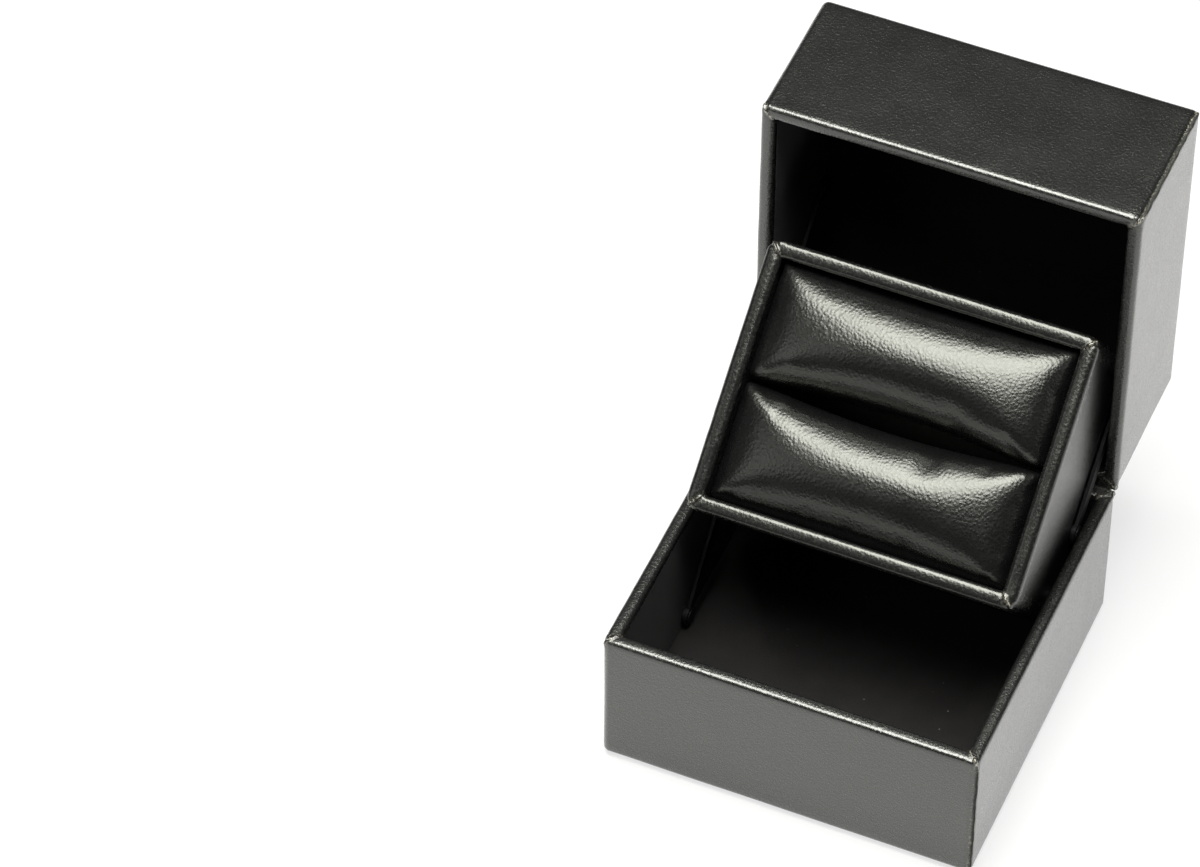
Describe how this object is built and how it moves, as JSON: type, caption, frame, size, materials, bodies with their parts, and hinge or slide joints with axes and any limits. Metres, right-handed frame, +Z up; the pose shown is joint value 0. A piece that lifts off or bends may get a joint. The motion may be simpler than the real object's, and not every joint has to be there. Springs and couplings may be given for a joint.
{
  "type": "ring display box",
  "caption": "Small square ring box with a hinged lid and a cushioned tray that lifts and tilts forward on links as the lid opens.",
  "frame": {"origin": "centre of the underside of the base, on the surface the box stands on", "axes": "+Z up, +Y towards the hinge side, +X to the right seen from the front"},
  "size_m": [0.057, 0.08, 0.0808],
  "materials": {
    "leatherette": "black embossed leatherette, satin gloss",
    "flock": "black short-pile flock",
    "moulded": "dark grey moulded plastic",
    "felt": "black felt",
    "card": "grey-brown card",
    "blackened_steel": "blackened steel, dull",
    "plated_steel": "nickel-plated steel"
  },
  "bodies": {
    "base": {"base_shell": "moulded", "base_wrap": "leatherette", "base_foot_sheet": "felt", "base_front_lining": "flock", "base_rear_lining": "flock", "base_left_lining": "flock", "base_right_lining": "flock", "base_floor_pad": "flock", "base_link_rivets": "blackened_steel", "hinge_base_leaf": "plated_steel", "hinge_pin": "plated_steel", "hinge_base_rivets": "plated_steel"},
    "lid": {"lid_shell": "moulded", "lid_wrap": "leatherette", "lid_front_lining": "flock", "lid_rear_lining": "flock", "lid_left_lining": "flock", "lid_right_lining": "flock", "lid_top_pad": "flock", "lid_strut_rivets": "blackened_steel", "hinge_lid_leaf": "plated_steel", "hinge_lid_rivets": "plated_steel"},
    "tray": {"tray_frame": "moulded", "tray_wrap": "leatherette", "tray_bottom_board": "card", "cushion_board": "card", "lower_cushion": "leatherette", "upper_cushion": "leatherette", "tray_rivets": "blackened_steel"},
    "lid_strut_left": {"lid_strut_left": "blackened_steel"},
    "lid_strut_right": {"lid_strut_right": "blackened_steel"},
    "base_link_left": {"base_link_left": "blackened_steel"},
    "base_link_right": {"base_link_right": "blackened_steel"}
  },
  "joints": [
    {"name": "lid_hinge", "type": "hinge", "parent": "base", "child": "lid", "pos_m": [0, 0.02785, 0.0251], "axis": [1, 0, 0], "range_deg": [0, 90]},
    {"name": "strut_left_pivot", "type": "hinge", "parent": "lid", "child": "lid_strut_left", "pos_m": [-0.02565, 0.04776, 0.04747], "axis": [1, 0, 0], "range_deg": [-63.35, 0]},
    {"name": "strut_right_pivot", "type": "hinge", "parent": "lid", "child": "lid_strut_right", "pos_m": [0.02565, 0.04776, 0.04747], "axis": [1, 0, 0], "range_deg": [-63.35, 0]},
    {"name": "tray_pivot", "type": "hinge", "parent": "lid_strut_left", "child": "tray", "pos_m": [-0.02565, 0.01878, 0.02408], "axis": [1, 0, 0], "range_deg": [-65.85, 0]},
    {"name": "link_left_pivot", "type": "hinge", "parent": "base", "child": "base_link_left", "pos_m": [-0.02565, -0.00234, 0.00461], "axis": [1, 0, 0], "range_deg": [0, 109.85]},
    {"name": "link_right_pivot", "type": "hinge", "parent": "base", "child": "base_link_right", "pos_m": [0.02565, -0.00234, 0.00461], "axis": [1, 0, 0], "range_deg": [0, 109.85]}
  ],
  "couplings": [
    {"joint": "strut_left_pivot", "follows": "lid_hinge", "ratio": -0.7033},
    {"joint": "strut_right_pivot", "follows": "lid_hinge", "ratio": -0.7033},
    {"joint": "tray_pivot", "follows": "lid_hinge", "ratio": -0.73115},
    {"joint": "link_left_pivot", "follows": "lid_hinge", "ratio": 1.2202},
    {"joint": "link_right_pivot", "follows": "lid_hinge", "ratio": 1.2202}
  ]
}
